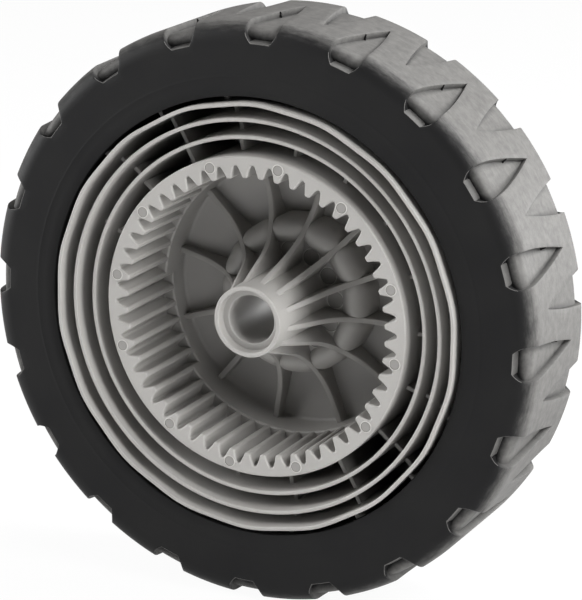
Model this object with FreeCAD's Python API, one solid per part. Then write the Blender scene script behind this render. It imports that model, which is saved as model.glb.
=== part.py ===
import FreeCAD, Part
import math
import os

from FreeCAD import Vector

# Driving dimensions, in millimetres and degrees.
# The axle runs along Y, the gear side faces -Y and +Z is up.
# The origin is on the axle line, halfway across the tyre.
# A depth is measured from the gear's face towards the outer side, +Y.
# A turn is measured about the axle, from +X towards +Z.

# Tyre
tyre_diameter = 210.0
tyre_width = 52.0
tyre_height = 25.1
tyre_shoulder = 7.0
shoulder_facets = 3

# Leaf-shaped pockets of the tread, one row from each side
pockets_per_side = 20
pocket_turn = 16.0
pocket_depth = 2.2
pocket_length = 36.8
pocket_width = 12.6
pocket_end_inset = 7.4
pocket_end_width = 7.0
pocket_end_slope = 4.4

# Internal ring gear
gear_face_recess = 1.6
tooth_count = 52
tooth_module = 2.0
pressure_angle = 20.0
addendum_modules = 1.0
dedendum_modules = 1.25
tooth_turn = 17.6
tooth_length = 29.0
gear_wall = 3.4
deep_space_count = 6
deep_space_first = 23
deep_space_extra = 5.7

# Cup behind the gear, the plate that closes it and the tyre flange
floor_depth = 43.2
plate_thickness = 2.5
flange_height = 3.0

# Rings round the gear: share of the way from the gear's wall to the drum at which each inner one lies,
# and how far each edge stands before the gear's face
ring_wall = 1.6
inner_ring_share = 0.344
inner_ring_stand = -0.9
middle_ring_share = 0.694
middle_ring_stand = 1.2
drum_stand = 2.4

# Radial ribs that tie the rings together and carry the tyre
ring_rib_count = 18
ring_rib_turn = 19.0
ring_rib_wall = 1.5
inner_bay_depth = 10.5
middle_bay_depth = 12.2
outer_bay_depth = 10.2
seat_rib_height = 2.5
seat_rib_depth = 2.5
seat_clearance = 0.1

# Hub
bore_diameter = 17.4
counterbore_diameter = 22.4
counterbore_depth = 3.6
nose_diameter = 25.6
nose_stand = 5.0
hub_foot_depth = 31.0
hub_foot_radius = 21.0

# Curved ribs between hub and cup wall
hub_rib_count = 12
hub_rib_turn = 18.2
hub_rib_wall = 1.8
hub_rib_start_depth = 1.0
hub_rib_knee_radius = 23.0
hub_rib_knee_depth = 35.1
hub_rib_bend = 24.0
hub_rib_end_depth = 38.9

# Ridge of petals round the hub's foot, one in each bay between the hub ribs
petal_radius = 29.5
petal_root_radius = 27.3
petal_top_depth = 28.9
petal_side_depth = 33.5
petal_facets = 4

# Derived sizes
full_turn = 360.0
axle = Vector(0, 1, 0)
centre = Vector(0, 0, 0)
tyre_radius = tyre_diameter / 2
half_width = tyre_width / 2
gear_face = gear_face_recess - half_width
pitch_radius = tooth_count * tooth_module / 2
tip_radius = pitch_radius - addendum_modules * tooth_module
root_radius = pitch_radius + dedendum_modules * tooth_module
gear_radius = root_radius + gear_wall
tooth_pitch = full_turn / tooth_count
tyre_bore_radius = tyre_radius - tyre_height
seat_radius = tyre_bore_radius - seat_clearance
drum_radius = seat_radius - seat_rib_height - ring_wall / 2
ring_space = drum_radius - gear_radius
inner_ring_radius = gear_radius + inner_ring_share * ring_space
middle_ring_radius = gear_radius + middle_ring_share * ring_space
flange_radius = seat_radius + flange_height
plate_depth = floor_depth + plate_thickness
bore_radius = bore_diameter / 2
counterbore_radius = counterbore_diameter / 2
nose_radius = nose_diameter / 2
hub_wall = nose_radius - bore_radius


def at_depth(depth):
    """Y of a depth behind the gear's face."""
    return gear_face + depth


def polar(radius, turn, y):
    """Point at a radius and a turn about the axle."""
    angle = math.radians(turn)
    return Vector(radius * math.cos(angle), y, radius * math.sin(angle))


def turned(shape, turn):
    """Copy of a shape, turned about the axle from +X towards +Z."""
    return shape.rotated(centre, axle, -turn)


def pattern(shape, count, first_turn):
    """Evenly spaced copies of a shape round the axle."""
    return [turned(shape, first_turn + full_turn * i / count) for i in range(count)]


def outline(*corners):
    """Closed face through (x, y, rounding) corners in the XY plane, each corner rounded by its radius."""
    points = [Vector(x, y, 0) for x, y, rounding in corners]
    arcs = []
    for i, (x, y, rounding) in enumerate(corners):
        back = (points[i - 1] - points[i]).normalize()
        on = (points[(i + 1) % len(points)] - points[i]).normalize()
        half_angle = back.getAngle(on) / 2
        reach = rounding / math.tan(half_angle)
        inward = (back + on).normalize() if rounding else Vector()
        middle = points[i] + inward * (rounding / math.sin(half_angle) - rounding)
        arcs.append((points[i] + back * reach, middle, points[i] + on * reach))
    edges = []
    for i, (start, middle, end) in enumerate(arcs):
        if corners[i][2]:
            edges.append(Part.Arc(start, middle, end).toShape())
        following = arcs[(i + 1) % len(arcs)][0]
        if end.distanceToPoint(following) > Part.Precision.confusion():
            edges.append(Part.makeLine(end, following))
    return Part.Face(Part.Wire(edges))


def prism(corners, way):
    """Solid drawn out from a flat outline of straight edges."""
    return Part.Face(Part.makePolygon(corners + corners[:1])).extrude(way)


def revolved(*corners):
    """Ring about the axle with a section through (radius, y, rounding) corners."""
    return outline(*corners).revolve(centre, axle, full_turn)


def radial_plate(wall, *corners):
    """Flat plate through the axle line at turn 0, with an outline through (radius, y, rounding) corners."""
    face = outline(*corners)
    face.translate(Vector(0, 0, -wall / 2))
    return face.extrude(Vector(0, 0, wall))


def ring(inner, outer, front, back):
    """Plain ring about the axle."""
    return revolved((inner, front, 0), (outer, front, 0), (outer, back, 0), (inner, back, 0))


def involute(radius):
    """Involute function, in degrees, of the pressure angle at a radius."""
    base_radius = pitch_radius * math.cos(math.radians(pressure_angle))
    angle = math.acos(base_radius / radius)
    return math.degrees(math.tan(angle) - angle)


def tooth_space(space_turn):
    """Corners of one tooth space in order of turn, with two chords to each involute flank."""
    corners = []
    for radius in (root_radius, pitch_radius, tip_radius):
        half_space = tooth_pitch / 4 + involute(pitch_radius) - involute(radius)
        corners.insert(0, polar(radius, space_turn - half_space, gear_face))
        corners.append(polar(radius, space_turn + half_space, gear_face))
    return corners


def gear():
    """Toothed ring: one outline of all teeth, drawn out to the tooth length."""
    edges = []
    for i in range(tooth_count):
        turn = tooth_turn + i * tooth_pitch
        space = tooth_space(turn + tooth_pitch / 2)
        following = tooth_space(turn + tooth_pitch * 3 / 2)
        tip_middle = polar(tip_radius, turn + tooth_pitch, gear_face)
        edges += Part.makePolygon(space).Edges
        edges.append(Part.Arc(space[-1], tip_middle, following[0]).toShape())
    disc = Part.Face(Part.Wire(Part.makeCircle(gear_radius, Vector(0, gear_face, 0), axle)))
    face = disc.cut(Part.Face(Part.Wire(edges)))
    return face.extrude(axle * tooth_length)


def deep_spaces():
    """The tooth spaces of one sector, which run deeper than the others."""
    tools = []
    for i in range(deep_space_count):
        space = tooth_space(tooth_turn + (deep_space_first + i + 0.5) * tooth_pitch)
        tools.append(prism(space, axle * (tooth_length + deep_space_extra)))
    return tools


def cup():
    """Hub tube, floor, cup wall and back plate, as one turned section."""
    nose = at_depth(-nose_stand)
    foot = at_depth(hub_foot_depth)
    floor = at_depth(floor_depth)
    back = at_depth(plate_depth)
    shelf = at_depth(tooth_length)
    return revolved(
        (bore_radius, nose + counterbore_depth, 0),
        (counterbore_radius, nose + counterbore_depth, 0),
        (counterbore_radius, nose, 0),
        (nose_radius, nose, 0),
        (nose_radius, foot, 0),
        (hub_foot_radius, foot, 0),
        (hub_foot_radius, floor, 0),
        (tip_radius, floor, 0),
        (tip_radius, shelf, 0),
        (gear_radius, shelf, 0),
        (gear_radius, floor, 0),
        (flange_radius, floor, 0),
        (flange_radius, back, 0),
        (bore_radius, back, 0),
    )


def rings():
    """The two rings and the drum that stand on the back plate."""
    back = at_depth(plate_depth)
    half = ring_wall / 2
    inner = ring(inner_ring_radius - half, inner_ring_radius + half, at_depth(-inner_ring_stand), back)
    middle = ring(middle_ring_radius - half, middle_ring_radius + half, at_depth(-middle_ring_stand), back)
    drum = ring(drum_radius - half, drum_radius + half, at_depth(-drum_stand), back)
    return [inner, middle, drum]


def ring_rib():
    """One radial rib from the gear's wall through the rings to the tyre seat, stepped from bay to bay."""
    floor = at_depth(floor_depth + plate_thickness / 2)
    return radial_plate(
        ring_rib_wall,
        (gear_radius - gear_wall / 2, at_depth(inner_bay_depth), 0),
        (inner_ring_radius, at_depth(inner_bay_depth), 0),
        (inner_ring_radius, at_depth(middle_bay_depth), 0),
        (middle_ring_radius, at_depth(middle_bay_depth), 0),
        (middle_ring_radius, at_depth(outer_bay_depth), 0),
        (drum_radius, at_depth(outer_bay_depth), 0),
        (drum_radius, at_depth(seat_rib_depth), 0),
        (seat_radius, at_depth(seat_rib_depth), 0),
        (seat_radius, floor, 0),
        (gear_radius - gear_wall / 2, floor, 0),
    )


def hub_rib():
    """One curved rib: steep along the hub, then bent to run out flat above the floor."""
    root = nose_radius - hub_wall / 2
    wall_end = (tip_radius + root_radius) / 2
    floor = at_depth(floor_depth + plate_thickness / 2)
    return radial_plate(
        hub_rib_wall,
        (root, at_depth(hub_rib_start_depth), 0),
        (nose_radius, at_depth(hub_rib_start_depth), 0),
        (hub_rib_knee_radius, at_depth(hub_rib_knee_depth), hub_rib_bend),
        (wall_end, at_depth(hub_rib_end_depth), 0),
        (wall_end, floor, 0),
        (root, floor, 0),
    )


def petal():
    """One petal of the ridge round the hub's foot: vaulted from rib to rib, with a bowed outer end."""
    foot = at_depth(floor_depth + plate_thickness / 2)
    crown = at_depth(petal_top_depth)
    rise = petal_side_depth - petal_top_depth
    half_bay = full_turn / hub_rib_count / 2
    half_wide = petal_radius * math.sin(math.radians(half_bay))
    inner = hub_foot_radius * math.cos(math.radians(half_bay))
    vault = [Vector(inner, foot, half_wide), Vector(inner, foot, -half_wide)]
    for i in range(petal_facets + 1):
        share = 2 * i / petal_facets - 1
        vault.append(Vector(inner, crown + rise * share ** 2, half_wide * share))
    plan = [
        polar(petal_root_radius, -half_bay, crown),
        polar(petal_radius, -half_bay / 2, crown),
        polar(petal_radius, half_bay / 2, crown),
        polar(petal_root_radius, half_bay, crown),
        polar(inner, half_bay, crown),
        polar(inner, -half_bay, crown),
    ]
    return prism(vault, Vector(petal_radius, 0, 0)).common(prism(plan, axle * (foot - crown)))


def hub_recess():
    """The hollow behind the hub's foot, which keeps its walls even."""
    return ring(
        nose_radius + plate_thickness / 2,
        hub_foot_radius - plate_thickness,
        at_depth(hub_foot_depth + plate_thickness),
        at_depth(plate_depth),
    )


def rim():
    """The moulded wheel body."""
    additions = [gear()] + rings()
    additions += pattern(ring_rib(), ring_rib_count, ring_rib_turn)
    additions += pattern(hub_rib(), hub_rib_count, hub_rib_turn)
    additions += pattern(petal(), hub_rib_count, hub_rib_turn + full_turn / hub_rib_count / 2)
    whole = cup().fuse(additions).cut(deep_spaces() + [hub_recess()])
    return whole.removeSplitter()


def tread_pocket():
    """One pocket of the gear side's row at turn 0: a leaf outline sunk into shoulder and crown."""
    before = -half_width - pocket_depth
    tip = pocket_length - half_width
    beyond = tyre_radius + pocket_depth
    end_radius = tyre_radius - pocket_end_inset
    corner_radius = end_radius + pocket_end_slope
    leaf_root = pocket_width * (pocket_length + pocket_depth) / (pocket_length - tyre_shoulder)
    leaf_corners = [
        Vector(end_radius, before, -leaf_root / 2),
        Vector(end_radius, tip, 0),
        Vector(end_radius, before, leaf_root / 2),
    ]
    end_corners = []
    for radius, width in (
        (end_radius, pocket_end_width),
        (corner_radius, pocket_width * corner_radius / tyre_radius),
        (beyond, pocket_width * beyond / tyre_radius),
    ):
        end_corners.insert(0, Vector(radius, before, -width / 2))
        end_corners.append(Vector(radius, before, width / 2))
    leaf = prism(leaf_corners, Vector(beyond - end_radius, 0, 0))
    end_shape = prism(end_corners, axle * (tip - before))
    core_radius = tyre_radius - pocket_depth
    core_half = half_width - pocket_depth
    core = radial_plate(
        2 * pocket_width,
        (tyre_bore_radius, -core_half, 0),
        *shoulder_corners(core_radius, core_half, tyre_shoulder - pocket_depth),
        (tyre_bore_radius, core_half, 0),
    )
    return leaf.common(end_shape).cut(core)


def shoulder_corners(radius, half, shoulder):
    """Section corners of a tyre's outside, from the gear side to the outer side."""
    corners = []
    for i in range(shoulder_facets + 1):
        angle = math.radians(full_turn / 4 * i / shoulder_facets)
        rise = shoulder * math.sin(angle)
        corners.append((radius - shoulder + rise, shoulder - half - shoulder * math.cos(angle), 0))
    mirrored = [(r, -y, rounding) for r, y, rounding in reversed(corners)]
    return corners + mirrored


def tyre():
    """The moulded tyre, with a step in its bore for the rim's flange."""
    flange_bore = flange_radius + seat_clearance
    step = at_depth(floor_depth) - seat_clearance
    blank = revolved(
        (tyre_bore_radius, -half_width, 0),
        *shoulder_corners(tyre_radius, half_width, tyre_shoulder),
        (flange_bore, half_width, 0),
        (flange_bore, step, 0),
        (tyre_bore_radius, step, 0),
    )
    near_pocket = tread_pocket()
    far_pocket = near_pocket.mirror(centre, axle)
    pockets = pattern(near_pocket, pockets_per_side, pocket_turn)
    pockets += pattern(far_pocket, pockets_per_side, pocket_turn + full_turn / pockets_per_side / 2)
    return blank.cut(pockets)


os.makedirs("parts", exist_ok=True)
rim().exportStep("parts/rim.step")
tyre().exportStep("parts/tyre.step")
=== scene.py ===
import bmesh
import bpy
import math
from mathutils import Matrix, Vector


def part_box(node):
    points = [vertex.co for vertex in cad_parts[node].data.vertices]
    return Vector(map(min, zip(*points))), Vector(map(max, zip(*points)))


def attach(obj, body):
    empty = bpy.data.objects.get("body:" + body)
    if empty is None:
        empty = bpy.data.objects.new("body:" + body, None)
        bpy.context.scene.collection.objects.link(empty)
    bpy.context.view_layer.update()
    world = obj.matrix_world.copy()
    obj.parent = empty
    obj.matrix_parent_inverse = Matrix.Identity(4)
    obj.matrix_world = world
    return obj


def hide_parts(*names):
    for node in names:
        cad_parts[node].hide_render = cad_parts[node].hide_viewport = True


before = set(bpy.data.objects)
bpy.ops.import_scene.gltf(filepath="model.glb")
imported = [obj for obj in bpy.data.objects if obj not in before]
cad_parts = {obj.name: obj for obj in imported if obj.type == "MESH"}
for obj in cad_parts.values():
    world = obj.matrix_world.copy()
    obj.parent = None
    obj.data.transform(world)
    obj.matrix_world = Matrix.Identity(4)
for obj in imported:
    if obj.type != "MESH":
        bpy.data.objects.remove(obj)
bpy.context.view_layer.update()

# Sizes are in millimetres and degrees, as in the part's source.
# The axle runs along Y, the gear side faces -Y, a depth is measured from the gear's face towards +Y,
# and a turn is measured about the axle from +X towards +Z.
mm = 0.001
axle = Vector((0, 1, 0))
centre = Vector((0, 0, 0))
full_turn = 360.0
tyre_low, tyre_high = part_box("tyre")

# Tyre
tyre_radius = (tyre_high[0] - tyre_low[0]) / 2 / mm
half_width = (tyre_high[1] - tyre_low[1]) / 2 / mm
tyre_bore = 79.9
tyre_shoulder = 7.0
flange_bore = 82.9
flange_step = 18.7
bead_rounding = 0.5
bead_lip_bore = 79.0
bead_lip_depth = 3.0
bead_radius = bead_lip_bore + bead_rounding
one_degree = math.radians(1) * tyre_radius

# Tread pockets, each a leaf from its blunt end on the sidewall to its tip on the crown;
# a pocket's wall is a face that is tilted more than wall_level allows
pockets_per_side = 20
tread_pitch = full_turn / pockets_per_side
pocket_turn = 16.0
pocket_depth = 2.2
pocket_length = 36.8
pocket_width = 12.6
pocket_widest = 6.0
pocket_fullness = 1.53
pocket_end_radius = 97.6
pocket_end_width = 7.0
pocket_end_extra = 1.3
pocket_end_slope = 1.3
pocket_edge = 0.3
wall_level = 0.95

# Fin of flash in each pocket of the gear side
seam_way = 27.2
seam_wall = 0.4
seam_stand = 0.1
seam_foot = 0.8

# Faint line round the gear side's sidewall, with its rows in shares of its width and those that are raised
trim_line_radius = 86.0
trim_line_width = 0.3
trim_line_height = 0.03
trim_line_rows = (-1, -0.5, 0.5, 1)
trim_line_raised = 0.75

# Wear, from 0 on the black sidewall to 1 on the grey tread: where it starts on the shoulder, over which
# way it grows, how ragged it is and how much earlier it starts in a pocket
wear_start = 3.2
wear_run = 7.2
wear_ragged = 6.0
pocket_lead = 3.5

# Shares of the tread's grey: added as painted highlight at a pocket's edge by the sidewall and on its end,
# taken off as painted shade on a fin and in the floor's corners
edge_painted_light = 1.0
end_painted_light = 0.85
# The fin's colour is painted shade, which keeps it black
seam_painted_shade = -1.0
corner_shade_end = 0.35
corner_shade_tip = 1.0

# Internal gear
gear_face_recess = 1.6
gear_face = gear_face_recess - half_width
tooth_count = 52
tooth_module = 2.0
pressure_angle = 20.0
root_modules = 1.25
tooth_turn = 17.6
tooth_length = 29.0
deep_length = 34.7
deep_first = 23
deep_count = 6
gear_radius = 57.9
tooth_pitch = full_turn / tooth_count
pitch_radius = tooth_count * tooth_module / 2
tip_radius = pitch_radius - tooth_module
root_radius = pitch_radius + root_modules * tooth_module
tooth_edge = 0.4
shelf_edge = 0.5

# Round marks that the ejector pins leave on the gear's face, with the teeth from one mark to the next,
# and on the hub's foot between the ribs
pin_mark_radius = 1.65
pin_mark_circle = 54.8
pin_mark_teeth = (5, 4, 4)
foot_pin_radius = 2.9
foot_pin_circle = 17.3
pin_groove_width = 0.17
pin_rim_width = 0.33
pin_rim_edge = 0.12
pin_mark_stand = 0.18
pin_groove_stand = 0.02
pin_rim_stand = 0.22
pin_root = 2.0
# Darkening of the disc, as a share of the groove's painted shade
pin_disc_shade = 0.5

# Cup, back plate and tyre flange; a piece runs into the next one by the overlap, or to the plate's middle
cup_step = 0.1
cup_radius = tip_radius - cup_step
floor_depth = 43.2
floor_fillet = 1.2
plate_depth = 45.7
plate_middle = (floor_depth + plate_depth) / 2
plate_edge = 0.4
flange_radius = 82.8
flange_edge = 0.3
recess_inner = 14.05
recess_outer = 18.5
recess_depth = 33.5
recess_fillet = 0.8
overlap = 1.0

# Rings
ring_wall = 1.4
inner_ring_radius = 64.3
inner_ring_depth = 0.9
middle_ring_radius = 70.8
middle_ring_depth = -1.2
drum_radius = 76.5
drum_depth = -3.0
drum_wave = 0.5
ring_lip = 0.3
ring_rib_count = 18
ring_rib_turn = 19.0
ring_rib_wall = 1.5
ring_rib_depths = (10.5, 12.2, 10.2, 4.5)
seat_radius = 79.8
rib_edge = 0.25

# Hub
bore_radius = 8.7
bore_edge = 0.6
counterbore_radius = 11.2
counterbore_depth = -1.4
counterbore_edge = 0.3
counterbore_fillet = 0.2
nose_radius = 12.8
nose_depth = -5.0
nose_lip = 0.25
foot_depth = 31.0
foot_radius = 21.0
foot_fillet = 1.2
foot_hub_radius = 13.6
hub_rib_count = 12
half_bay = full_turn / hub_rib_count / 2
hub_rib_turn = 18.2
hub_rib_wall = 2.0
hub_rib_start = 1.0
hub_rib_knee = (24.0, 35.2)
hub_rib_bend = 16.3
hub_rib_end = 38.9
hub_rib_edge = 0.2
petal_radius = 29.0
petal_top = 28.9
petal_spring = 36.0
petal_inset = 2.4
petal_squareness = 3.6

# How finely round shapes are divided; a rounding over wide_bend is a bend, and one under crisp_edge a chamfer
lathe_steps = 180
pin_steps = 32
bend_steps = 8
round_steps = 3
edge_steps = 2
wide_bend = 2.0
crisp_edge = 0.6
petal_length_steps = 24
petal_round_steps = 32

# Columns over one pitch of the tread, and rows along the runs of the tyre's section
leaf_columns = 4
gap_columns = 6
side_rows = 5
shoulder_rows = 10
crown_rows = 16
bead_rows = 4
flange_rows = 2
bore_rows = 6
lip_rows = 2

# Angles from which an edge is softened or shaded sharp, and distances within which points are joined
soften_angle = 25.0
pocket_edge_angle = 45.0
shading_angle = 32.0
lathe_weld = 0.004
gear_weld = 0.04
tread_weld = 0.02
tread_sliver = 0.01


def at_depth(depth):
    """Y of a depth behind the gear's face."""
    return gear_face + depth


def polar(radius, turn, y):
    """Point at a radius and a turn about the axle."""
    angle = math.radians(turn)
    return Vector((radius * math.cos(angle), y, radius * math.sin(angle)))


def turn_about_axle(turn):
    """Rotation from +X towards +Z."""
    return Matrix.Rotation(math.radians(-turn), 3, axle)


def corner_face(bm, corners):
    """Face in the XY plane through (radius, y, rounding) corners, each corner rounded."""
    verts = [bm.verts.new((radius, y, 0)) for radius, y, rounding in corners]
    bm.faces.new(verts)
    for rounding in sorted({corner[2] for corner in corners} - {0}):
        picked = [vert for vert, corner in zip(verts, corners) if corner[2] == rounding]
        steps = round_steps
        if rounding > wide_bend:
            steps = bend_steps
        elif rounding < crisp_edge:
            steps = 1
        bmesh.ops.bevel(bm, geom=picked, offset=rounding, offset_type="OFFSET", affect="VERTICES",
                        segments=steps, profile=0.5, material=-1)
    return bm.faces[:]


def lathe(corners, turn=full_turn, steps=lathe_steps):
    """Solid turned about the axle, whole or a sector, with (radius, y, rounding) corners."""
    bm = bmesh.new()
    faces = corner_face(bm, corners)
    if turn == full_turn:
        bmesh.ops.delete(bm, geom=faces, context="FACES_ONLY")
    bmesh.ops.spin(bm, geom=bm.verts[:] + bm.edges[:] + bm.faces[:], cent=centre, axis=axle,
                   angle=math.radians(-turn), steps=steps, use_merge=turn == full_turn)
    bmesh.ops.remove_doubles(bm, verts=bm.verts, dist=lathe_weld)
    bmesh.ops.delete(bm, geom=[edge for edge in bm.edges if edge.is_wire], context="EDGES")
    bmesh.ops.recalc_face_normals(bm, faces=bm.faces)
    return bm


def new_verts(grown):
    """Vertices among what an extrusion made."""
    return [item for item in grown["geom"] if isinstance(item, bmesh.types.BMVert)]


def draw_out(bm, faces, way):
    """Extrudes faces along a way."""
    grown = bmesh.ops.extrude_face_region(bm, geom=faces)
    bmesh.ops.translate(bm, verts=new_verts(grown), vec=way)


def sharp_edges(bm, least_angle=soften_angle):
    """Edges whose two faces meet at more than an angle."""
    least = math.radians(least_angle)
    return [edge for edge in bm.edges if edge.is_manifold and edge.calc_face_angle() > least]


def soften(bm, edges, width, steps=edge_steps):
    """Rounds edges."""
    bmesh.ops.bevel(bm, geom=edges, offset=width, offset_type="OFFSET", affect="EDGES", segments=steps,
                    profile=0.5, material=-1, clamp_overlap=True)


def plate(wall, corners, edge):
    """Flat plate through the axle line at turn 0 with softened edges."""
    bm = bmesh.new()
    faces = corner_face(bm, corners)
    bmesh.ops.translate(bm, verts=bm.verts, vec=(0, 0, -wall / 2))
    draw_out(bm, faces, (0, 0, wall))
    bmesh.ops.recalc_face_normals(bm, faces=bm.faces)
    soften(bm, sharp_edges(bm), edge)
    return bm


def spread(bm, count, first_turn):
    """Turns a piece to its first place and repeats it evenly round the axle."""
    last_turn = full_turn * (count - 1) / count
    bmesh.ops.rotate(bm, verts=bm.verts, cent=centre, matrix=turn_about_axle(first_turn))
    bmesh.ops.spin(bm, geom=bm.verts[:] + bm.edges[:] + bm.faces[:], cent=centre, axis=axle,
                   angle=math.radians(-last_turn), steps=count - 1, use_duplicate=True)
    return bm


def add(whole, piece):
    """Moves a piece's faces into a larger mesh."""
    mesh = bpy.data.meshes.new("piece")
    piece.to_mesh(mesh)
    piece.free()
    whole.from_mesh(mesh)
    bpy.data.meshes.remove(mesh)


def new_object(bm, name, material):
    """Object in metres made from a mesh in millimetres."""
    bmesh.ops.scale(bm, verts=bm.verts, vec=(mm, mm, mm))
    mesh = bpy.data.meshes.new(name)
    bm.to_mesh(mesh)
    bm.free()
    mesh.materials.append(material)
    made = bpy.data.objects.new(name, mesh)
    bpy.context.scene.collection.objects.link(made)
    return made


def finish_piece(bm, name, node, material):
    """Piece that stands for a CAD node, with smooth faces between sharp edges."""
    piece = new_object(bm, name, material)
    piece.data.shade_smooth()
    piece.data.set_sharp_from_angle(angle=math.radians(shading_angle))
    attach(piece, "root")
    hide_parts(node)


# Rim


def involute(radius):
    """Involute function, in degrees, of the pressure angle at a radius."""
    angle = math.acos(pitch_radius * math.cos(math.radians(pressure_angle)) / radius)
    return math.degrees(math.tan(angle) - angle)


def gear():
    """Toothed ring: one tooth space is drawn and spun round, then the whole face is drawn out."""
    half_space = []
    for radius in (root_radius, (root_radius + pitch_radius) / 2, pitch_radius,
                   (pitch_radius + tip_radius) / 2, tip_radius):
        turn = tooth_pitch / 4 + involute(pitch_radius) - involute(radius)
        half_space.append((radius, turn))
    half_space.append((tip_radius, tooth_pitch / 2))
    outline = [(radius, -turn) for radius, turn in reversed(half_space)] + half_space
    first = tooth_turn + tooth_pitch / 2
    bm = bmesh.new()
    verts = [bm.verts.new(polar(radius, first + turn, gear_face)) for radius, turn in outline]
    edges = [bm.edges.new(pair) for pair in zip(verts, verts[1:])]
    grown = bmesh.ops.extrude_edge_only(bm, edges=edges)
    for vert in new_verts(grown):
        flat = Vector((vert.co.x, 0, vert.co.z)).normalized() * gear_radius
        vert.co = Vector((flat.x, gear_face, flat.z))
    spread(bm, tooth_count, 0)
    bmesh.ops.remove_doubles(bm, verts=bm.verts, dist=gear_weld)
    draw_out(bm, bm.faces[:], axle * (floor_depth + overlap))
    bmesh.ops.recalc_face_normals(bm, faces=bm.faces)
    hidden = at_depth(floor_depth) - tooth_module
    edges = [edge for edge in sharp_edges(bm) if min(vert.co.y for vert in edge.verts) < hidden]
    soften(bm, edges, tooth_edge, steps=1)
    return bm


def shelf():
    """Wall that ends the tooth spaces, left open over the sector of deeper spaces."""
    top = at_depth(tooth_length)
    low = at_depth(floor_depth + overlap)
    outer = (root_radius + gear_radius) / 2
    closed = full_turn - tooth_pitch * deep_count
    bm = lathe([
        (cup_radius, top, shelf_edge),
        (outer, top, 0),
        (outer, low, 0),
        (cup_radius, low, 0),
    ], closed)
    start = tooth_turn + (deep_first + deep_count) * tooth_pitch
    bmesh.ops.rotate(bm, verts=bm.verts, cent=centre, matrix=turn_about_axle(start))
    return bm


def cup():
    """Hub tube, its foot, floor, cup wall below the teeth, back plate and tyre flange."""
    back = at_depth(plate_depth)
    foot = at_depth(foot_depth)
    floor = at_depth(floor_depth)
    deep = at_depth(deep_length)
    nose = at_depth(nose_depth)
    step = at_depth(counterbore_depth)
    recess = at_depth(recess_depth)
    return lathe([
        (bore_radius, step, counterbore_edge),
        (counterbore_radius, step, counterbore_fillet),
        (counterbore_radius, nose, nose_lip),
        (nose_radius, nose, nose_lip),
        (foot_hub_radius, foot, foot_fillet),
        (foot_radius + overlap, foot, 0),
        (foot_radius + overlap, floor, 0),
        (cup_radius, floor, floor_fillet),
        (cup_radius, deep, shelf_edge),
        (gear_radius - overlap, deep, 0),
        (gear_radius - overlap, floor, 0),
        (flange_radius, floor, flange_edge),
        (flange_radius, back, plate_edge),
        (recess_outer, back, plate_edge),
        (recess_outer, recess, recess_fillet),
        (recess_inner, recess, recess_fillet),
        (recess_inner, back, plate_edge),
        (bore_radius, back, bore_edge),
    ])


def ring(radius, depth):
    """One of the thin rings round the gear, with a chamfered lip."""
    inner = radius - ring_wall / 2
    outer = radius + ring_wall / 2
    front = at_depth(depth)
    back = at_depth(plate_middle)
    return lathe([(inner, front, ring_lip), (outer, front, ring_lip), (outer, back, 0), (inner, back, 0)])


def drum():
    """Outermost ring, drawn in a little at each rib."""
    bm = ring(drum_radius, drum_depth)
    for vert in bm.verts:
        turn = math.degrees(math.atan2(vert.co.z, vert.co.x))
        swing = math.cos(math.radians((turn - ring_rib_turn) * ring_rib_count))
        radius = math.hypot(vert.co.x, vert.co.z)
        share = (radius - swing * drum_wave / 2) / radius
        vert.co.x *= share
        vert.co.z *= share
    return bm


def ring_rib():
    """Radial rib from the gear's wall through the rings to the tyre seat, stepped from bay to bay."""
    inner, middle, outer, seat = [at_depth(depth) for depth in ring_rib_depths]
    root = at_depth(plate_middle)
    start = gear_radius - overlap
    return plate(ring_rib_wall, [
        (start, inner, 0),
        (inner_ring_radius, inner, 0),
        (inner_ring_radius, middle, 0),
        (middle_ring_radius, middle, 0),
        (middle_ring_radius, outer, 0),
        (drum_radius, outer, 0),
        (drum_radius, seat, 0),
        (seat_radius, seat, 0),
        (seat_radius, root, 0),
        (start, root, 0),
    ], rib_edge)


def hub_rib():
    """Curved rib: steep along the hub, then bent to run out above the floor; it keeps clear of the recess."""
    start = (nose_radius + bore_radius) / 2
    end = tip_radius + tooth_module
    root = at_depth(plate_middle)
    above_recess = at_depth((foot_depth + recess_depth) / 2)
    beside_recess = (recess_outer + foot_radius) / 2
    return plate(hub_rib_wall, [
        (start, at_depth(hub_rib_start), 0),
        (nose_radius, at_depth(hub_rib_start), 0),
        (hub_rib_knee[0], at_depth(hub_rib_knee[1]), hub_rib_bend),
        (end, at_depth(hub_rib_end), 0),
        (end, root, 0),
        (beside_recess, root, 0),
        (beside_recess, above_recess, 0),
        (start, above_recess, 0),
    ], hub_rib_edge)


def petal():
    """One pillow of the ridge round the hub's foot, at turn 0, with a straight wall down to the floor."""
    root = at_depth(plate_middle)
    spring = at_depth(petal_spring)
    inner = foot_radius - petal_inset
    middle = (inner + petal_radius) / 2
    half_wide = petal_radius * math.sin(math.radians(half_bay))
    bm = bmesh.new()
    bmesh.ops.create_uvsphere(bm, u_segments=petal_round_steps, v_segments=petal_length_steps, radius=1)
    bmesh.ops.bisect_plane(bm, geom=bm.verts[:] + bm.edges[:] + bm.faces[:], plane_co=centre, plane_no=axle,
                           clear_outer=True)
    power = petal_squareness
    for vert in bm.verts:
        across = math.hypot(vert.co.x, vert.co.y)
        vert.co /= (across ** power + abs(vert.co.z) ** power) ** (1 / power)
    bmesh.ops.scale(bm, verts=bm.verts, vec=(petal_radius - middle, petal_spring - petal_top, half_wide))
    bmesh.ops.translate(bm, verts=bm.verts, vec=(middle, spring, 0))
    open_edges = [edge for edge in bm.edges if edge.is_boundary]
    grown = bmesh.ops.extrude_edge_only(bm, edges=open_edges)
    bmesh.ops.translate(bm, verts=new_verts(grown), vec=axle * (root - spring))
    bmesh.ops.holes_fill(bm, edges=[edge for edge in bm.edges if edge.is_boundary])
    bmesh.ops.recalc_face_normals(bm, faces=bm.faces)
    return bm


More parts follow.
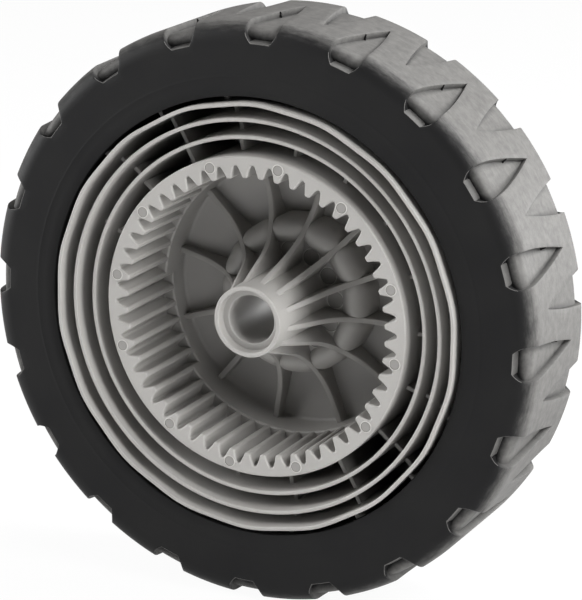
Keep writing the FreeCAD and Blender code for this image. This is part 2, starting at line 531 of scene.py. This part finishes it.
def shaded_pin_mark(radius, face):
    """Mark of an ejector pin on a face at this y, on the axle line: darker disc, groove with painted shade
    and thin rim with a painted highlight.
    """
    disc = face - pin_mark_stand
    groove = face - pin_groove_stand
    lip = face - pin_rim_stand
    root = face + pin_root
    groove_radius = radius + pin_groove_width
    rim_radius = groove_radius + pin_rim_width
    bm = lathe([
        (0, disc, 0),
        (radius, disc, 0),
        (radius, groove, 0),
        (groove_radius, groove, 0),
        (groove_radius, lip, 0),
        (rim_radius, lip, pin_rim_edge),
        (rim_radius, root, 0),
        (0, root, 0),
    ], steps=pin_steps)
    bm.faces.layers.float.new("shaded_pin_mark")
    bm.faces.layers.float.new("pin_rim_highlight")
    shade = bm.faces.layers.float["shaded_pin_mark"]
    highlight_layer = bm.faces.layers.float["pin_rim_highlight"]
    # The groove is painted dark as painted shade, the disc darker by a share of it, and the rim lighter as a
    # painted highlight.
    for facet in bm.faces:
        middle = facet.calc_center_median()
        out = middle.xz.length
        if middle.y > face:
            continue
        if out < radius - pin_groove_stand:
            facet[shade] = pin_disc_shade
        elif out < groove_radius:
            facet[shade] = 1.0
        else:
            facet[highlight_layer] = 1.0
    return bm


def pin_marks():
    """All the ejector marks: along the gear's face, and on the hub's foot, one in each bay between ribs."""
    whole = bmesh.new()
    tooth = 0
    while tooth < tooth_count:
        for step in pin_mark_teeth:
            bm = shaded_pin_mark(pin_mark_radius, gear_face)
            turn = tooth_turn + tooth * tooth_pitch
            bmesh.ops.translate(bm, verts=bm.verts, vec=(pin_mark_circle, 0, 0))
            bmesh.ops.rotate(bm, verts=bm.verts, cent=centre, matrix=turn_about_axle(turn))
            add(whole, bm)
            tooth += step
    bm = shaded_pin_mark(foot_pin_radius, at_depth(foot_depth))
    bmesh.ops.translate(bm, verts=bm.verts, vec=(foot_pin_circle, 0, 0))
    add(whole, spread(bm, hub_rib_count, hub_rib_turn + half_bay))
    return whole


def rim():
    """The moulded wheel body."""
    whole = bmesh.new()
    # Layers for the ejector marks' painted shade and painted highlight
    whole.faces.layers.float.new("shaded_pin_mark")
    whole.faces.layers.float.new("pin_rim_highlight")
    add(whole, gear())
    add(whole, shelf())
    add(whole, cup())
    add(whole, ring(inner_ring_radius, inner_ring_depth))
    add(whole, ring(middle_ring_radius, middle_ring_depth))
    add(whole, drum())
    add(whole, spread(ring_rib(), ring_rib_count, ring_rib_turn))
    add(whole, spread(hub_rib(), hub_rib_count, hub_rib_turn))
    add(whole, spread(petal(), hub_rib_count, hub_rib_turn + half_bay))
    add(whole, pin_marks())
    return whole


# Tyre


def section_runs():
    """The tyre's closed section from the gear side's bead round the outside.

    A run is a line (rows, start, end) or a quarter arc (rows, middle, radius, first angle).
    """
    side = half_width
    lip_back = bead_lip_depth - side
    flange_bead = flange_bore + bead_rounding
    shoulder = tyre_radius - tyre_shoulder
    crown = side - tyre_shoulder
    return [
        ("line", side_rows, (bead_radius, -side), (shoulder, -side)),
        ("arc", shoulder_rows, (shoulder, -crown), tyre_shoulder, 180.0),
        ("line", crown_rows, (tyre_radius, -crown), (tyre_radius, crown)),
        ("arc", shoulder_rows, (shoulder, crown), tyre_shoulder, 90.0),
        ("line", side_rows, (shoulder, side), (flange_bead, side)),
        ("arc", bead_rows, (flange_bead, side - bead_rounding), bead_rounding, 0.0),
        ("line", flange_rows, (flange_bore, side - bead_rounding), (flange_bore, flange_step)),
        ("line", 1, (flange_bore, flange_step), (tyre_bore, flange_step)),
        ("line", bore_rows, (tyre_bore, flange_step), (tyre_bore, lip_back)),
        ("line", 1, (tyre_bore, lip_back), (bead_lip_bore, lip_back)),
        ("line", lip_rows, (bead_lip_bore, lip_back), (bead_lip_bore, bead_rounding - side)),
        ("arc", bead_rows, (bead_radius, bead_rounding - side), bead_rounding, 270.0),
    ]


def run_length(run):
    """Length of one run of the section."""
    if run[0] == "line":
        start, end = run[2:]
        return math.dist(start, end)
    middle, radius, first_angle = run[2:]
    return radius * math.pi / 2


def section_point(distance):
    """Radius, y and outward normal at a distance along the section."""
    runs = section_runs()
    for run in runs:
        length = run_length(run)
        if distance <= length or run is runs[-1]:
            break
        distance -= length
    if run[0] == "line":
        start, end = [Vector(point) for point in run[2:]]
        way = (end - start).normalized()
        normal = Vector((way.y, -way.x))
        point = start + way * distance
    else:
        middle, radius, first_angle = run[2:]
        angle = math.radians(first_angle) - distance / radius
        normal = Vector((math.sin(angle), math.cos(angle)))
        point = Vector(middle) + normal * radius
    return point, normal


def row_distances():
    """Distances along the section at which the tyre's mesh has a row, and the section's whole length."""
    rows = []
    start = 0.0
    for run in section_runs():
        length = run_length(run)
        count = run[1]
        rows += [start + length * i / count for i in range(count)]
        start += length
    return rows, start


# Places along the section, in millimetres from the gear side's bead
side_length, shoulder_length, crown_length = [run_length(run) for run in section_runs()[:3]]
crown_start = side_length + shoulder_length
crown_end = crown_start + crown_length
pocket_start = pocket_end_radius - bead_radius
pocket_tip = crown_start + pocket_length - tyre_shoulder
pocket_run = pocket_tip - pocket_start
trim_line = trim_line_radius - bead_radius


def opposite(distance):
    """The same place on the other side of the tyre."""
    return crown_start + crown_end - distance


def leaf_half_width(way):
    """Half the width of a tread pocket at a way along it from its end at the sidewall."""
    narrow = pocket_end_width / 2
    wide = pocket_width / 2
    if way < pocket_widest:
        share = 1 - way / pocket_widest
        return wide - (wide - narrow) * share ** 2
    share = (way - pocket_widest) / (pocket_run - pocket_widest)
    return wide * (1 - share ** pocket_fullness)


def leaf_half_turn(distance):
    """Half the turn that the gear side's pocket takes at a distance; past its tip the columns open again."""
    end_turn = math.degrees(pocket_end_width / 2 / pocket_end_radius)
    way = distance - pocket_start
    if way <= 0:
        return end_turn
    if way <= pocket_run:
        return math.degrees(leaf_half_width(way) / section_point(distance)[0].x)
    return min((way - pocket_run) / tyre_shoulder, 1.0) * end_turn


def tyre_rows():
    """Rows of the tyre's mesh, with one at each end of the pockets and beside the trim line."""
    rows, whole = row_distances()
    marks = [pocket_start, pocket_tip, opposite(pocket_start), opposite(pocket_tip), whole]
    marks += [trim_line + trim_line_width * share for share in trim_line_rows]
    clear = [row for row in rows if min(abs(row - mark) for mark in marks) > trim_line_width]
    return sorted(clear + marks)


def row_turns(distance):
    """Turns of the mesh's columns at one row, over one pitch of the tread."""
    half_pitch = tread_pitch / 2
    near = leaf_half_turn(distance)
    far = leaf_half_turn(opposite(distance))
    left = (far - near - half_pitch) / 2
    right = left + tread_pitch
    spans = [
        (left, -near, gap_columns // 2),
        (-near, near, leaf_columns),
        (near, half_pitch - far, gap_columns),
        (half_pitch - far, half_pitch + far, leaf_columns),
        (half_pitch + far, right, gap_columns // 2),
    ]
    turns = [start + (end - start) * i / count for start, end, count in spans for i in range(count)]
    return turns + [right]


def pocket_sink(distance):
    """Depth of a pocket's floor at a distance along the section, more at its end than along the crown."""
    way = min(abs(distance - pocket_start), abs(opposite(distance) - pocket_start))
    return pocket_depth + pocket_end_extra * max(0.0, 1 - way / pocket_widest)


def tread_way(distance):
    """How far round the nearer shoulder a distance along the section lies, counted from the sidewall."""
    return min(distance, opposite(distance)) - side_length


def corner_shade_at(distance):
    """How dark the corner between a pocket's floor and its flank is: most at the leaf's tip."""
    way = min(distance, opposite(distance)) - pocket_start
    share = max(0.0, min(1.0, way / pocket_run))
    return corner_shade_end + (corner_shade_tip - corner_shade_end) * share ** 2


def flat_tread(rows):
    """One pitch of the tread drawn flat, x round the tyre and y along its section, and its pockets' faces."""
    columns = 2 * (leaf_columns + gap_columns)
    bm = bmesh.new()
    bm.verts.layers.float.new("tread_way")
    bm.verts.layers.float.new("corner_shade")
    bm.faces.layers.float.new("pocket_painted_light_and_shade")
    bmesh.ops.create_grid(bm, x_segments=columns, y_segments=len(rows) - 1, size=1)
    place = {}
    for vert in bm.verts:
        i = round((vert.co.x + 1) / 2 * columns)
        j = round((vert.co.y + 1) / 2 * (len(rows) - 1))
        place[vert] = (i, j)
    turns = [row_turns(row) for row in rows]
    for vert, (i, j) in place.items():
        vert.co = (turns[j][i] * one_degree, rows[j], 0)

    def in_pocket(face):
        i = min(place[vert][0] for vert in face.verts)
        j = min(place[vert][1] for vert in face.verts)
        middle = (rows[j] + rows[j + 1]) / 2
        near_first = gap_columns // 2
        far_first = near_first + leaf_columns + gap_columns
        near = near_first <= i < near_first + leaf_columns and pocket_start < middle < pocket_tip
        far = far_first <= i < far_first + leaf_columns and pocket_start < opposite(middle) < pocket_tip
        return near or far

    return bm, [face for face in bm.faces if in_pocket(face)]


def sink_pockets(bm, sunk):
    """Sinks the pockets' faces, slopes the pockets' ends and softens the edges."""
    grown = bmesh.ops.extrude_face_region(bm, geom=sunk)
    for vert in new_verts(grown):
        vert.co.z = -pocket_sink(vert.co.y)
        if vert.co.y < pocket_start + pocket_edge:
            vert.co.y += pocket_end_slope
        elif vert.co.y > opposite(pocket_start) - pocket_edge:
            vert.co.y -= pocket_end_slope
    bmesh.ops.delete(bm, geom=sunk, context="FACES")
    bmesh.ops.remove_doubles(bm, verts=bm.verts, dist=tread_weld)
    bmesh.ops.dissolve_degenerate(bm, edges=bm.edges, dist=tread_sliver)
    bmesh.ops.recalc_face_normals(bm, faces=bm.faces)
    level_edges = []
    for edge in sharp_edges(bm, pocket_edge_angle):
        if abs(edge.verts[0].co.z - edge.verts[1].co.z) < pocket_depth / 2:
            level_edges.append(edge)
    soften(bm, level_edges, pocket_edge)


def paint_pocket_light_and_shade(bm):
    """Notes the painted highlight on the pockets' ends and edges, and the painted shade in the corners of
    their floors.
    """
    pocket_painted_light_and_shade = bm.faces.layers.float["pocket_painted_light_and_shade"]
    corner_shade = bm.verts.layers.float["corner_shade"]
    bm.normal_update()
    walls = {face for face in bm.faces if abs(face.normal.z) < wall_level}
    # Walls by the sidewall get a painted highlight on their edge, and end walls a painted highlight where the
    # light falls on them.
    for face in walls:
        middle = face.calc_center_median()
        by_sidewall = tread_way(middle.y) < wear_start
        if by_sidewall and middle.z > -pocket_edge:
            face[pocket_painted_light_and_shade] = edge_painted_light
        elif abs(face.normal.y) > abs(face.normal.x):
            face[pocket_painted_light_and_shade] = end_painted_light
    # Floor corners beside the walls get painted shade.
    for vert in bm.verts:
        if vert.co.z < -pocket_depth / 2 and not walls.isdisjoint(vert.link_faces):
            vert[corner_shade] = -corner_shade_at(vert.co.y)


def mould_seam(bm):
    """Small fin of flash in the corner between a pocket's floor and its flank, drawn flat."""
    drawn = set(bm.faces)
    distance = pocket_start + seam_way
    flank = leaf_half_turn(distance) * one_degree
    floor = -pocket_depth
    corners = [
        (flank - seam_foot, floor - seam_stand),
        (flank - seam_foot, floor + seam_stand),
        (flank - pocket_edge, -seam_stand),
        (flank, -seam_stand),
        (flank, floor - seam_stand),
    ]
    face = bm.faces.new([bm.verts.new((x, distance - seam_wall / 2, z)) for x, z in corners])
    draw_out(bm, [face], (0, seam_wall, 0))
    # The fin's faces take painted shade, which keeps them black.
    pocket_painted_light_and_shade = bm.faces.layers.float["pocket_painted_light_and_shade"]
    for fin_face in set(bm.faces) - drawn:
        fin_face[pocket_painted_light_and_shade] = seam_painted_shade


def roll_up(bm):
    """Bends the flat pitch round the tyre's section and notes how far round the shoulder each point lies."""
    way = bm.verts.layers.float["tread_way"]
    for vert in bm.verts:
        vert[way] = tread_way(vert.co.y)
        if vert.co.z < -pocket_depth / 2:
            vert[way] += pocket_lead
        point, normal = section_point(vert.co.y)
        height = vert.co.z
        if abs(vert.co.y - trim_line) < trim_line_width * trim_line_raised:
            height += trim_line_height
        point = point + normal * height
        vert.co = polar(point.x, pocket_turn + vert.co.x / one_degree, point.y)


def tyre():
    """One pitch of the tread is drawn flat, with its pockets sunk, then rolled up and spun round."""
    bm, sunk = flat_tread(tyre_rows())
    sink_pockets(bm, sunk)
    paint_pocket_light_and_shade(bm)
    mould_seam(bm)
    bmesh.ops.recalc_face_normals(bm, faces=bm.faces)
    roll_up(bm)
    spread(bm, pockets_per_side, 0)
    bmesh.ops.remove_doubles(bm, verts=bm.verts, dist=tread_weld)
    bmesh.ops.recalc_face_normals(bm, faces=bm.faces)
    return bm


# Materials

# Sizes of patterns in millimetres; both real grains are near 0.1 mm, too fine to show, and are drawn coarser
flow_cloud_size = 38
plastic_grain_size = 0.7
plastic_grain_height = 0.1
rubber_cloud_size = 25
rubber_grain_size = 0.8
rubber_grain_height = 0.15
scuff_size = 3

# Brushing is drawn out across the axle, by shrinking its coordinates, and takes a share of the tread's grey
brushing_size = 1.2
brushing_shrink = (0.2, 1, 0.2)
brushing_share = 0.3

# Share of the paper's look that is plain white
paper_glow = 0.95


def linear(hex_colour):
    """Linear RGBA of an sRGB hex colour."""
    levels = [int(hex_colour[i:i + 2], 16) / 255 for i in (1, 3, 5)]
    curved = [level / 12.92 if level <= 0.04045 else ((level + 0.055) / 1.055) ** 2.4 for level in levels]
    return curved + [1.0]


def add_node(tree, kind, settings=None, links=None):
    """Adds a node, sets its properties, inputs and ramp, and links its inputs to other nodes' outputs."""
    made = tree.nodes.new(kind)
    for name, value in (settings or {}).items():
        if name == "ramp":
            for stop, (position, colour) in zip(made.color_ramp.elements, value):
                stop.position = position
                stop.color = linear(colour)
        elif isinstance(name, int) or name in made.inputs:
            made.inputs[name].default_value = value
        else:
            setattr(made, name, value)
    for name, source in (links or {}).items():
        tree.links.new(source, made.inputs[name])
    return made


def per_metre(size_mm):
    """Scale of a pattern whose features are this many millimetres across."""
    return 1 / (size_mm * mm)


def new_material(name):
    """Empty node material, its node tree and its output."""
    material = bpy.data.materials.new(name)
    material.use_nodes = True
    tree = material.node_tree
    tree.nodes.clear()
    return material, tree, add_node(tree, "ShaderNodeOutputMaterial")


def moulded_polypropylene():
    """Light grey moulded polypropylene: satin, with a fine spark-eroded grain and faint flow clouds."""
    material, tree, output = new_material("moulded_polypropylene")
    place = add_node(tree, "ShaderNodeTexCoord").outputs["Object"]
    clouds = add_node(tree, "ShaderNodeTexNoise", {
        "Scale": per_metre(flow_cloud_size),
        "Detail": 3.0,
    }, {"Vector": place}).outputs["Fac"]
    tint = add_node(tree, "ShaderNodeValToRGB", {"ramp": ((0.3, "#9b9996"), (0.7, "#a3a19e"))}, {
        "Fac": clouds,
    })
    grain = add_node(tree, "ShaderNodeTexNoise", {
        "Scale": per_metre(plastic_grain_size),
        "Detail": 2.0,
    }, {"Vector": place})
    bump = add_node(tree, "ShaderNodeBump", {
        "Strength": 0.12,
        "Distance": plastic_grain_height * mm,
    }, {"Height": grain.outputs["Fac"]})
    gloss = add_node(tree, "ShaderNodeMapRange", {"To Min": 0.4, "To Max": 0.54}, {"Value": clouds})
    # Ejector marks: the disc is painted darker, the groove darker still as painted shade, and the rim lighter
    # as a painted highlight.
    mark = add_node(tree, "ShaderNodeAttribute", {"attribute_name": "shaded_pin_mark"})
    pin_shaded = add_node(tree, "ShaderNodeMix", {"data_type": "RGBA", "B": linear("#6c6a67")}, {
        "Factor": mark.outputs["Fac"],
        "A": tint.outputs["Color"],
    })
    rim_highlight_mask = add_node(tree, "ShaderNodeAttribute", {"attribute_name": "pin_rim_highlight"})
    colour = add_node(tree, "ShaderNodeMix", {"data_type": "RGBA", "B": linear("#bbb9b5")}, {
        "Factor": rim_highlight_mask.outputs["Fac"],
        "A": pin_shaded.outputs["Result"],
    })
    shader = add_node(tree, "ShaderNodeBsdfPrincipled", {"IOR": 1.49}, {
        "Base Color": colour.outputs["Result"],
        "Roughness": gloss.outputs["Result"],
        "Normal": bump.outputs["Normal"],
    })
    tree.links.new(shader.outputs["BSDF"], output.inputs["Surface"])
    return material


def moulded_rubber():
    """Black moulded tyre rubber: dull, near black sidewall, and a blasted tread that scuffs to grey; the
    pockets' ends and edges carry a painted highlight, their fins and floor corners painted shade.
    """
    material, tree, output = new_material("moulded_rubber")
    place = add_node(tree, "ShaderNodeTexCoord").outputs["Object"]
    clouds = add_node(tree, "ShaderNodeTexNoise", {
        "Scale": per_metre(rubber_cloud_size),
        "Detail": 4.0,
    }, {"Vector": place}).outputs["Fac"]
    black = add_node(tree, "ShaderNodeValToRGB", {"ramp": ((0.3, "#131314"), (0.72, "#191919"))}, {
        "Fac": clouds,
    })
    drawn_out = add_node(tree, "ShaderNodeVectorMath", {"operation": "MULTIPLY", 1: brushing_shrink}, {
        0: place,
    })
    brushing = add_node(tree, "ShaderNodeTexNoise", {
        "Scale": per_metre(brushing_size),
        "Detail": 5.0,
        "Roughness": 0.7,
    }, {"Vector": drawn_out.outputs["Vector"]}).outputs["Fac"]
    scuff = add_node(tree, "ShaderNodeTexNoise", {
        "Scale": per_metre(scuff_size),
        "Detail": 6.0,
        "Roughness": 0.65,
    }, {"Vector": place}).outputs["Fac"]

    # Wear grows with the way round the shoulder, raggedly, and differs in the pockets; painted shade and
    # painted highlight are added to it there.
    way = add_node(tree, "ShaderNodeAttribute", {"attribute_name": "tread_way"})
    corner = add_node(tree, "ShaderNodeAttribute", {"attribute_name": "corner_shade"})
    pocket = add_node(tree, "ShaderNodeAttribute", {"attribute_name": "pocket_painted_light_and_shade"})
    ragged = add_node(tree, "ShaderNodeMath", {"operation": "MULTIPLY_ADD", 1: wear_ragged}, {
        0: brushing,
        2: way.outputs["Fac"],
    })
    wear = add_node(tree, "ShaderNodeMapRange", {
        "interpolation_type": "SMOOTHSTEP",
        "From Min": wear_start + wear_ragged / 2,
        "From Max": wear_start + wear_ragged / 2 + wear_run,
    }, {"Value": ragged.outputs[0]})
    shaded = add_node(tree, "ShaderNodeMath", {"operation": "ADD"}, {
        0: wear.outputs["Result"],
        1: corner.outputs["Fac"],
    })
    # The pockets' painted highlight and the fins' painted shade are added to the wear.
    wear_and_painted_light = add_node(tree, "ShaderNodeMath", {"operation": "ADD", "use_clamp": True}, {
        0: shaded.outputs[0],
        1: pocket.outputs["Fac"],
    })
    streaks = add_node(tree, "ShaderNodeMix", {"data_type": "FLOAT", "Factor": brushing_share}, {
        "A": scuff,
        "B": brushing,
    })
    grey = add_node(tree, "ShaderNodeValToRGB", {"ramp": ((0.32, "#4f4e4d"), (0.68, "#656462"))}, {
        "Fac": streaks.outputs["Result"],
    })
    colour = add_node(tree, "ShaderNodeMix", {"data_type": "RGBA"}, {
        "Factor": wear_and_painted_light.outputs[0],
        "A": black.outputs["Color"],
        "B": grey.outputs["Color"],
    })
    grain = add_node(tree, "ShaderNodeTexNoise", {
        "Scale": per_metre(rubber_grain_size),
        "Detail": 3.0,
    }, {"Vector": place})
    bump = add_node(tree, "ShaderNodeBump", {
        "Strength": 0.25,
        "Distance": rubber_grain_height * mm,
    }, {"Height": grain.outputs["Fac"]})
    gloss = add_node(tree, "ShaderNodeMapRange", {"To Min": 0.5, "To Max": 0.66}, {"Value": clouds})
    shader = add_node(tree, "ShaderNodeBsdfPrincipled", {"IOR": 1.45, "Specular IOR Level": 0.2}, {
        "Base Color": colour.outputs["Result"],
        "Roughness": gloss.outputs["Result"],
        "Normal": bump.outputs["Normal"],
    })
    tree.links.new(shader.outputs["BSDF"], output.inputs["Surface"])
    return material


def white_paper():
    """Matt studio paper: white to the eye and in reflections, and it keeps the wheel's shadow."""
    material, tree, output = new_material("white_paper")
    rays = add_node(tree, "ShaderNodeLightPath").outputs
    seen = rays["Is Camera Ray"]
    for ray in ("Is Glossy Ray", "Is Transmission Ray"):
        seen = add_node(tree, "ShaderNodeMath", {"operation": "MAXIMUM"}, {0: seen, 1: rays[ray]}).outputs[0]
    share = add_node(tree, "ShaderNodeMath", {"operation": "MULTIPLY", 1: paper_glow}, {0: seen})
    matt = add_node(tree, "ShaderNodeBsdfDiffuse", {"Color": linear("#e6e6e6")})
    glow = add_node(tree, "ShaderNodeEmission", {"Color": linear("#ffffff"), "Strength": 1.0})
    mix = add_node(tree, "ShaderNodeMixShader", None, {
        "Fac": share.outputs[0],
        1: matt.outputs[0],
        2: glow.outputs[0],
    })
    tree.links.new(mix.outputs[0], output.inputs["Surface"])
    return material


# Studio

camera_azimuth = 25.6456
camera_elevation = 15.8714
camera_distance = 1029.94
camera_aim = Vector((2.3, 1.2, 0.45))
picture_height_pixels = 600
focal_pixels = 2890.32
sensor_width = 36.0
clip_start_metres = 0.05
clip_end_metres = 50.0
floor_half = 8000.0
room_strength = 0.01

# Lamps in metres and watts: name, tilt from the gear side of the axle, turn about the axle, power
lamp_distance = 1.3
lamp_size = 0.55
lamps = (
    ("tread_light", 108, 43, 15.5),
    ("rear_light", 115, 72, 13),
    ("bore_light", 150, 10, 7.5),
    ("right_light", 76, 5, 9.8),
    ("upper_light", 76, 40, 12.6),
    ("left_light", 76, 172, 13),
    ("front_light", 60, 140, 7.8),
)


def camera():
    """Camera at the photograph's place."""
    turn = math.radians(camera_azimuth)
    rise = math.radians(camera_elevation)
    back = Vector((math.sin(turn) * math.cos(rise), -math.cos(turn) * math.cos(rise), math.sin(rise)))
    data = bpy.data.cameras.new("camera")
    data.sensor_width = sensor_width
    data.lens = focal_pixels * sensor_width / picture_height_pixels
    data.clip_start = clip_start_metres
    data.clip_end = clip_end_metres
    made = bpy.data.objects.new("camera", data)
    made.location = (camera_aim + back * camera_distance) * mm
    made.rotation_euler = back.to_track_quat("Z", "Y").to_euler()
    bpy.context.scene.collection.objects.link(made)
    bpy.context.scene.camera = made


def softbox(name, tilt, turn, power):
    """Square soft light aimed at the wheel, at a tilt from the gear side of the axle and a turn about it."""
    data = bpy.data.lights.new(name, "AREA")
    data.size = lamp_size
    data.energy = power
    lean = math.radians(tilt)
    outward = math.sin(lean) * polar(1, turn, 0) - math.cos(lean) * axle
    made = bpy.data.objects.new(name, data)
    made.location = outward * lamp_distance
    made.rotation_euler = outward.to_track_quat("Z", "Y").to_euler()
    bpy.context.scene.collection.objects.link(made)


def studio():
    """White paper floor, soft lamps round the wheel and a dim room."""
    bm = bmesh.new()
    bmesh.ops.create_grid(bm, x_segments=1, y_segments=1, size=floor_half)
    bmesh.ops.translate(bm, verts=bm.verts, vec=(0, 0, -tyre_radius))
    floor = new_object(bm, "floor", white_paper())
    for name, tilt, turn, power in lamps:
        softbox(name, tilt, turn, power)
    world = bpy.data.worlds.new("room")
    world.use_nodes = True
    tree = world.node_tree
    tree.nodes.clear()
    light = add_node(tree, "ShaderNodeBackground", {"Color": linear("#ffffff"), "Strength": room_strength})
    add_node(tree, "ShaderNodeOutputWorld", None, {"Surface": light.outputs[0]})
    bpy.context.scene.world = world


bpy.context.scene.view_settings.view_transform = "Standard"
camera()
studio()
finish_piece(rim(), "wheel_rim", "rim", moulded_polypropylene())
finish_piece(tyre(), "wheel_tyre", "tyre", moulded_rubber())
